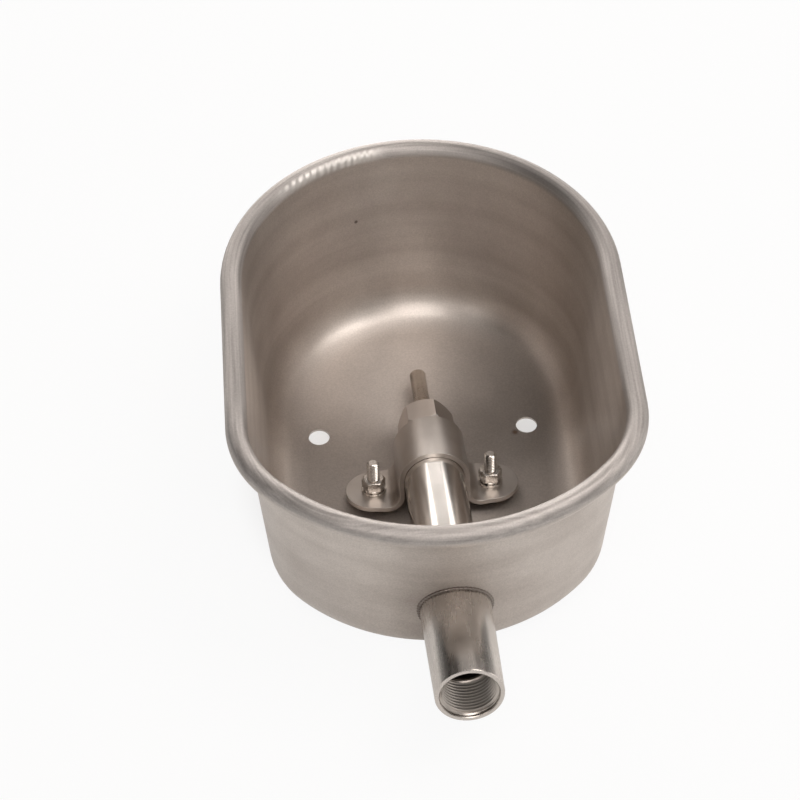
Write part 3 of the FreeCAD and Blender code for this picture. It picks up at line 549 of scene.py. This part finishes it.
def split_washer(side, across, start_angle):
    """Spring washer: a ring cut through at one place, with its ends sprung a little apart."""
    sprung, arc, steps = 0.12, 344, 48
    shape = bmesh.new()
    corners = ((3.15, -13.4), (3.05, -13.3), (3.05, -12.35), (3.15, -12.25),
               (5.05, -12.25), (5.2, -12.4), (5.2, -13.3), (5.05, -13.4))
    face = shape.faces.new([shape.verts.new((radius, 0.0, up)) for radius, up in corners])
    bmesh.ops.spin(
        shape, geom=[face], axis=UP, dvec=(0.0, 0.0, sprung / steps), angle=math.radians(arc),
        steps=steps, use_duplicate=False)
    spin = Matrix.Rotation(math.radians(start_angle), 4, "Z")
    close_up(shape, ON_PIPE @ Matrix.Translation((across, 0.0, 0.0)) @ spin)
    piece_from(
        shape, "split_washer_" + side, "bowl", plain_fastener,
        "lock_washer_" + side)


def root_weld():
    """Rippled weld bead outside the front wall, round the socket that goes through it. Rays from
    outside, just clear of the bead, find where the curved wall stands at each angle."""
    ring, bead, sides = 16.7, 0.9, 10
    clear, outside = 18.0, -150.0
    fine, fine_count, coarse, coarse_count = 0.14, 54, 0.08, 7
    wall = BVHTree.FromObject(nodes["bowl_shell"], bpy.context.evaluated_depsgraph_get())
    inwards = (ON_PIPE.to_3x3() @ Vector(ALONG)).normalized()
    shape = bmesh.new()
    turn_outline(shape, [
        (ring + bead * math.cos(turn), bead * math.sin(turn))
        for turn in [FULL_TURN * step / sides for step in range(sides)]
    ], ALONG, steps=240)
    for point in shape.verts:
        angle = math.atan2(point.co.z, point.co.x)
        out = Vector((math.cos(angle), 0.0, math.sin(angle)))
        place = wall.ray_cast(ON_PIPE @ (clear * out + Vector((0.0, outside, 0.0))), inwards)[0]
        along = (ON_PIPE.inverted() @ place).y
        ripple = (
            1 + fine * math.sin(fine_count * angle) + coarse * math.sin(coarse_count * angle))
        point.co = ring * out + (point.co - ring * out) * ripple + Vector((0.0, along, 0.0))
    close_up(shape, ON_PIPE)
    piece_from(shape, "root_weld", "bowl", weld_bead, crease=60.0)


def closing_spring():
    """Round wire coil behind the pin's cup, built at one length; the real one shortens as the pin
    is pushed in.
    """
    back, coil, wire, gap = 3.72, 5.4, 0.4, 0.1
    length, travel, turns, sides = 9.0, 2.5, 4.0, 12
    shape = bmesh.new()
    section = [
        (coil + wire * math.cos(turn), back + gap + wire * (1 + math.sin(turn)))
        for turn in [FULL_TURN * step / sides for step in range(sides)]
    ]
    wind(shape, section, (length - 2 * gap - 2 * wire) / turns, turns, ALONG)
    close_up(shape, ON_PIPE)
    spring = piece_from(
        shape, "closing_spring", "bowl", drawn_wire, "valve_spring")
    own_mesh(spring)


threaded_socket()
root_weld()
closing_spring()
for side, across, start_angle in (("left", -28.5, 200.0), ("right", 28.5, 250.0)):
    threaded_stud(side, across)
    split_washer(side, across, start_angle)
    softened("clamp_nut_" + side, 0.15)
    softened("plain_washer_" + side, 0.15)
softened("valve_body", 0.45)
softened("saddle_clamp", 0.45)
softened("valve_pin", 0.15, body="pin")
softened("spring_cup", 0.1, body="plunger")


def pale_floor():
    """A wide white floor that keeps a faint shadow of the object. It glows for the camera, less
    so under the bowl, and a little for reflections."""
    bowl_middle = (0.0, -0.025, 0.0)
    under_glow, open_glow, mirrored_glow = 0.44, 0.92, 0.35
    under_reach, open_reach = 0.05, 0.10
    sheet = bmesh.new()
    bmesh.ops.create_grid(sheet, x_segments=1, y_segments=1, size=12.0)
    mesh = bpy.data.meshes.new("floor")
    sheet.to_mesh(mesh)
    sheet.free()
    floor = bpy.data.objects.new("floor", mesh)
    bpy.context.scene.collection.objects.link(floor)
    material, tree, at = new_material("pale_painted_floor")
    paint = add(tree, "ShaderNodeBsdfDiffuse", {"Color": linear("#E2E1DF")})
    glow = add(tree, "ShaderNodeEmission", {"Color": (1.0, 1.0, 1.0, 1.0), "Strength": 1.0})
    path = add(tree, "ShaderNodeLightPath")
    mirrored = add(tree, "ShaderNodeMath", {
        0: path.outputs["Is Glossy Ray"], 1: mirrored_glow}, operation="MULTIPLY")
    away = add(tree, "ShaderNodeVectorMath", {0: at, 1: bowl_middle}, operation="DISTANCE")
    open_floor = add(tree, "ShaderNodeMapRange", {
        "Value": away.outputs["Value"], "From Min": under_reach, "From Max": open_reach,
        "To Min": under_glow, "To Max": open_glow}, interpolation_type="SMOOTHSTEP")
    share = add(tree, "ShaderNodeMath", {
        0: path.outputs["Is Camera Ray"], 1: open_floor.outputs["Result"],
        2: mirrored.outputs["Value"]}, operation="MULTIPLY_ADD")
    mixed = add(tree, "ShaderNodeMixShader", {
        0: share.outputs["Value"], 1: paint.outputs["BSDF"], 2: glow.outputs["Emission"]})
    add(tree, "ShaderNodeOutputMaterial", {"Surface": mixed.outputs["Shader"]})
    mesh.materials.append(material)


# Name, place, width, depth and watts of each soft box.
SOFT_BOXES = (
    ("front_overhead_softbox", (0.0, -0.7, 1.1), 0.6, 0.6, 5.2),
    ("wide_front_softbox", (0.0, -1.6, 0.8), 2.0, 0.8, 2.2),
    ("right_overhead_softbox", (0.55, -0.1, 1.1), 0.6, 0.6, 5.0),
    ("ceiling", (0.0, 0.2, 1.8), 1.6, 1.6, 3.2),
    ("right_softbox", (1.2, 0.0, 0.35), 0.6, 0.6, 1.9),
    ("back_softbox", (0.0, 1.3, 0.4), 0.6, 0.6, 6.2),
    ("back_left_softbox", (-0.8, 1.1, 0.75), 0.8, 0.6, 3.2),
    ("back_right_softbox", (0.8, 1.1, 0.75), 0.8, 0.6, 3.0),
    ("back_panel", (0.0, 1.4, 1.0), 2.4, 0.8, 4.6),
    ("left_front_softbox", (-0.9, -1.0, 0.9), 0.6, 0.6, 2.2),
    ("right_front_softbox", (0.9, -1.2, 0.5), 0.6, 0.6, 1.4),
)


def softbox(name, place, width, depth, power):
    """A rectangular lamp of slightly warm light, turned to the middle of the bowl."""
    bowl_middle = Vector((0.0, 0.0, 0.05))
    lamp = bpy.data.lights.new(name, "AREA")
    lamp.shape = "RECTANGLE"
    lamp.size = width
    lamp.size_y = depth
    lamp.energy = power
    lamp.color = linear("#FFF9F4")[:3]
    holder = bpy.data.objects.new(name, lamp)
    bpy.context.scene.collection.objects.link(holder)
    holder.location = place
    holder.rotation_euler = (bowl_middle - Vector(place)).to_track_quat("-Z", "Y").to_euler()


def studio():
    """Grey room that darkens overhead and that the camera sees as white, with soft boxes all
    round."""
    pale_below, dark_above = 0.05, 0.45
    world = bpy.data.worlds.new("pale_room")
    bpy.context.scene.world = world
    world.use_nodes = True
    tree = world.node_tree
    tree.nodes.clear()
    way = add(tree, "ShaderNodeTexCoord")
    split = add(tree, "ShaderNodeSeparateXYZ", {0: way.outputs["Generated"]})
    height = add(tree, "ShaderNodeMapRange", {
        "Value": split.outputs["Z"], "From Min": pale_below, "From Max": dark_above},
        interpolation_type="SMOOTHSTEP")
    wall = add(tree, "ShaderNodeMix", {
        0: height.outputs["Result"], 6: linear("#8F8E8C"), 7: linear("#1E1C1B")},
        data_type="RGBA")
    path = add(tree, "ShaderNodeLightPath")
    seen = add(tree, "ShaderNodeMix", {
        0: path.outputs["Is Camera Ray"], 6: wall.outputs[2], 7: linear("#FAFAF9")},
        data_type="RGBA")
    room = add(tree, "ShaderNodeBackground", {"Color": seen.outputs[2], "Strength": 1.0})
    add(tree, "ShaderNodeOutputWorld", {"Surface": room.outputs["Background"]})
    for soft_box in SOFT_BOXES:
        softbox(*soft_box)


def camera():
    """Stands where the photograph was taken from, fitted to the rim, the holes and the pipe."""
    lens = bpy.data.cameras.new("camera")
    lens.sensor_width = 36.0
    lens.lens = 111.85
    lens.clip_start = 0.05
    lens.clip_end = 50.0
    holder = bpy.data.objects.new("camera", lens)
    bpy.context.scene.collection.objects.link(holder)
    holder.location = Vector((-65.43, -831.36, 920.71)) * MM
    holder.rotation_euler = [math.radians(angle) for angle in (42.9178, 0.4531, -4.2118)]
    bpy.context.scene.camera = holder


pale_floor()
studio()
camera()
bpy.context.scene.view_settings.view_transform = "Standard"
